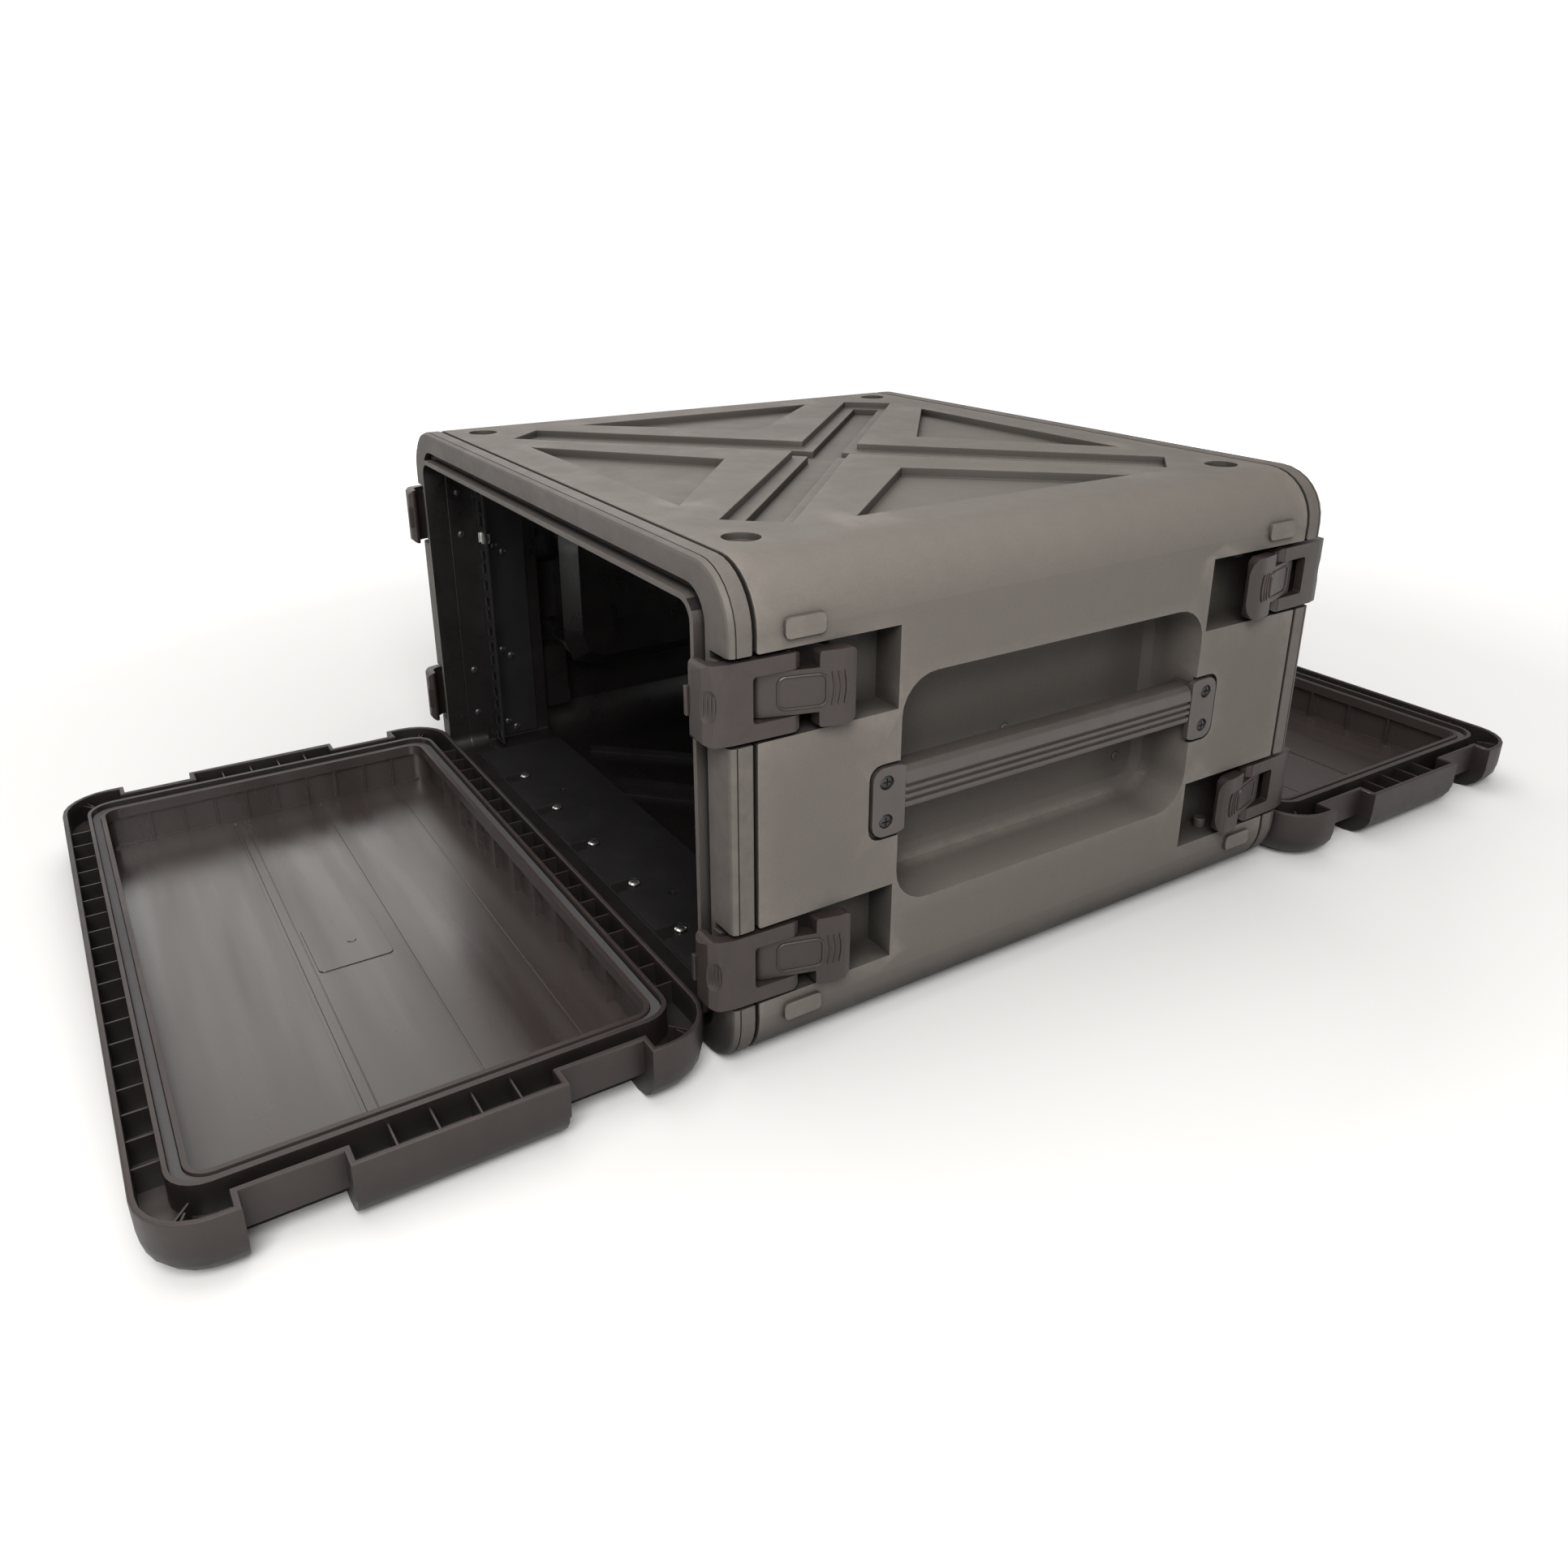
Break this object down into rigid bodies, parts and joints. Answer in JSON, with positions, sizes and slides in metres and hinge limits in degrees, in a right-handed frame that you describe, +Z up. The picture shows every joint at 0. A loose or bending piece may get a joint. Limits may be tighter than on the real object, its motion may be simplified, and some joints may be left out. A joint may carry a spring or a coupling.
{
  "type": "equipment rack case",
  "caption": "Moulded rack case with cross-ribbed top, open front and rear bays with rack rails, draw latches on both sides, recessed side handles and two removable lids lying beside it.",
  "frame": {"origin": "on the floor, under the middle of the case body", "axes": "+X across the case to its right side, +Y from the front opening to the rear opening, +Z up"},
  "size_m": [0.5922, 1.163, 0.325],
  "materials": {
    "shell_plastic": "fine moulded grain",
    "frame_plastic": "fine moulded grain",
    "latch_plastic": "smooth satin",
    "lid_plastic": "satin moulding inside, grained outside",
    "handle_plastic": "satin",
    "rail_steel": "black powder coat",
    "gasket_rubber": "matt",
    "bright_steel": "zinc plated",
    "black_steel": "black oxide"
  },
  "bodies": {
    "case": {"body_shell": "shell_plastic", "front_frame": "frame_plastic", "rack_rail_front_right": "rail_steel", "rack_rail_front_left": "rail_steel", "rear_frame": "frame_plastic", "rack_rail_rear_right": "rail_steel", "rack_rail_rear_left": "rail_steel", "cage_nut": "bright_steel", "handle_grip_right": "handle_plastic", "handle_bracket_right_front": "handle_plastic", "handle_screw_right_front_top": "black_steel", "handle_screw_right_front_bottom": "black_steel", "handle_bracket_right_rear": "handle_plastic", "handle_screw_right_rear_top": "black_steel", "handle_screw_right_rear_bottom": "black_steel", "handle_grip_left": "handle_plastic", "handle_bracket_left_front": "handle_plastic", "handle_screw_left_front_top": "black_steel", "handle_screw_left_front_bottom": "black_steel", "handle_bracket_left_rear": "handle_plastic", "handle_screw_left_rear_top": "black_steel", "handle_screw_left_rear_bottom": "black_steel", "lever_pin_front_right_upper": "bright_steel", "lever_pin_front_right_lower": "bright_steel", "lever_pin_front_left_upper": "bright_steel", "lever_pin_front_left_lower": "bright_steel", "lever_pin_rear_right_upper": "bright_steel", "lever_pin_rear_right_lower": "bright_steel", "lever_pin_rear_left_upper": "bright_steel", "lever_pin_rear_left_lower": "bright_steel"},
    "latch_lever_front_right_upper": {"lever_front_right_upper": "latch_plastic", "hook_pin_front_right_upper": "bright_steel"},
    "latch_hook_front_right_upper": {"hook_front_right_upper": "latch_plastic"},
    "latch_lever_front_right_lower": {"lever_front_right_lower": "latch_plastic", "hook_pin_front_right_lower": "bright_steel"},
    "latch_hook_front_right_lower": {"hook_front_right_lower": "latch_plastic"},
    "latch_lever_front_left_upper": {"lever_front_left_upper": "latch_plastic", "hook_pin_front_left_upper": "bright_steel"},
    "latch_hook_front_left_upper": {"hook_front_left_upper": "latch_plastic"},
    "latch_lever_front_left_lower": {"lever_front_left_lower": "latch_plastic", "hook_pin_front_left_lower": "bright_steel"},
    "latch_hook_front_left_lower": {"hook_front_left_lower": "latch_plastic"},
    "latch_lever_rear_right_upper": {"lever_rear_right_upper": "latch_plastic", "hook_pin_rear_right_upper": "bright_steel"},
    "latch_hook_rear_right_upper": {"hook_rear_right_upper": "latch_plastic"},
    "latch_lever_rear_right_lower": {"lever_rear_right_lower": "latch_plastic", "hook_pin_rear_right_lower": "bright_steel"},
    "latch_hook_rear_right_lower": {"hook_rear_right_lower": "latch_plastic"},
    "latch_lever_rear_left_upper": {"lever_rear_left_upper": "latch_plastic", "hook_pin_rear_left_upper": "bright_steel"},
    "latch_hook_rear_left_upper": {"hook_rear_left_upper": "latch_plastic"},
    "latch_lever_rear_left_lower": {"lever_rear_left_lower": "latch_plastic", "hook_pin_rear_left_lower": "bright_steel"},
    "latch_hook_rear_left_lower": {"hook_rear_left_lower": "latch_plastic"},
    "front_lid_body": {"front_lid": "lid_plastic", "front_lid_gasket": "gasket_rubber"},
    "rear_lid_body": {"rear_lid": "lid_plastic", "rear_lid_gasket": "gasket_rubber"}
  },
  "joints": [
    {"name": "lever_front_right_upper_hinge", "type": "hinge", "parent": "case", "child": "latch_lever_front_right_upper", "pos_m": [0.27, -0.2295, 0.249], "axis": [0, 0, -1], "range_deg": [0, 100]},
    {"name": "hook_front_right_upper_hinge", "type": "hinge", "parent": "latch_lever_front_right_upper", "child": "latch_hook_front_right_upper", "pos_m": [0.2765, -0.213, 0.249], "axis": [0, 0, -1], "range_deg": [-116, 0]},
    {"name": "lever_front_right_lower_hinge", "type": "hinge", "parent": "case", "child": "latch_lever_front_right_lower", "pos_m": [0.27, -0.2295, 0.076], "axis": [0, 0, -1], "range_deg": [0, 100]},
    {"name": "hook_front_right_lower_hinge", "type": "hinge", "parent": "latch_lever_front_right_lower", "child": "latch_hook_front_right_lower", "pos_m": [0.2765, -0.213, 0.076], "axis": [0, 0, -1], "range_deg": [-116, 0]},
    {"name": "lever_front_left_upper_hinge", "type": "hinge", "parent": "case", "child": "latch_lever_front_left_upper", "pos_m": [-0.27, -0.2295, 0.249], "axis": [0, 0, 1], "range_deg": [0, 100]},
    {"name": "hook_front_left_upper_hinge", "type": "hinge", "parent": "latch_lever_front_left_upper", "child": "latch_hook_front_left_upper", "pos_m": [-0.2765, -0.213, 0.249], "axis": [0, 0, 1], "range_deg": [-116, 0]},
    {"name": "lever_front_left_lower_hinge", "type": "hinge", "parent": "case", "child": "latch_lever_front_left_lower", "pos_m": [-0.27, -0.2295, 0.076], "axis": [0, 0, 1], "range_deg": [0, 100]},
    {"name": "hook_front_left_lower_hinge", "type": "hinge", "parent": "latch_lever_front_left_lower", "child": "latch_hook_front_left_lower", "pos_m": [-0.2765, -0.213, 0.076], "axis": [0, 0, 1], "range_deg": [-116, 0]},
    {"name": "lever_rear_right_upper_hinge", "type": "hinge", "parent": "case", "child": "latch_lever_rear_right_upper", "pos_m": [0.27, 0.2295, 0.249], "axis": [0, 0, 1], "range_deg": [0, 100]},
    {"name": "hook_rear_right_upper_hinge", "type": "hinge", "parent": "latch_lever_rear_right_upper", "child": "latch_hook_rear_right_upper", "pos_m": [0.2765, 0.213, 0.249], "axis": [0, 0, 1], "range_deg": [-116, 0]},
    {"name": "lever_rear_right_lower_hinge", "type": "hinge", "parent": "case", "child": "latch_lever_rear_right_lower", "pos_m": [0.27, 0.2295, 0.076], "axis": [0, 0, 1], "range_deg": [0, 100]},
    {"name": "hook_rear_right_lower_hinge", "type": "hinge", "parent": "latch_lever_rear_right_lower", "child": "latch_hook_rear_right_lower", "pos_m": [0.2765, 0.213, 0.076], "axis": [0, 0, 1], "range_deg": [-116, 0]},
    {"name": "lever_rear_left_upper_hinge", "type": "hinge", "parent": "case", "child": "latch_lever_rear_left_upper", "pos_m": [-0.27, 0.2295, 0.249], "axis": [0, 0, -1], "range_deg": [0, 100]},
    {"name": "hook_rear_left_upper_hinge", "type": "hinge", "parent": "latch_lever_rear_left_upper", "child": "latch_hook_rear_left_upper", "pos_m": [-0.2765, 0.213, 0.249], "axis": [0, 0, -1], "range_deg": [-116, 0]},
    {"name": "lever_rear_left_lower_hinge", "type": "hinge", "parent": "case", "child": "latch_lever_rear_left_lower", "pos_m": [-0.27, 0.2295, 0.076], "axis": [0, 0, -1], "range_deg": [0, 100]},
    {"name": "hook_rear_left_lower_hinge", "type": "hinge", "parent": "latch_lever_rear_left_lower", "child": "latch_hook_rear_left_lower", "pos_m": [-0.2765, 0.213, 0.076], "axis": [0, 0, -1], "range_deg": [-116, 0]},
    {"name": "front_lid_lift_off", "type": "slide", "parent": "case", "child": "front_lid_body", "axis": [0, -1, 0], "range_m": [0, 0.25]},
    {"name": "rear_lid_lift_off", "type": "slide", "parent": "case", "child": "rear_lid_body", "axis": [0, 1, 0], "range_m": [0, 0.25]}
  ],
  "couplings": [
    {"joint": "hook_front_right_upper_hinge", "follows": "lever_front_right_upper_hinge", "ratio": -1.15},
    {"joint": "hook_front_right_lower_hinge", "follows": "lever_front_right_lower_hinge", "ratio": -1.15},
    {"joint": "hook_front_left_upper_hinge", "follows": "lever_front_left_upper_hinge", "ratio": -1.15},
    {"joint": "hook_front_left_lower_hinge", "follows": "lever_front_left_lower_hinge", "ratio": -1.15},
    {"joint": "hook_rear_right_upper_hinge", "follows": "lever_rear_right_upper_hinge", "ratio": -1.15},
    {"joint": "hook_rear_right_lower_hinge", "follows": "lever_rear_right_lower_hinge", "ratio": -1.15},
    {"joint": "hook_rear_left_upper_hinge", "follows": "lever_rear_left_upper_hinge", "ratio": -1.15},
    {"joint": "hook_rear_left_lower_hinge", "follows": "lever_rear_left_lower_hinge", "ratio": -1.15}
  ]
}
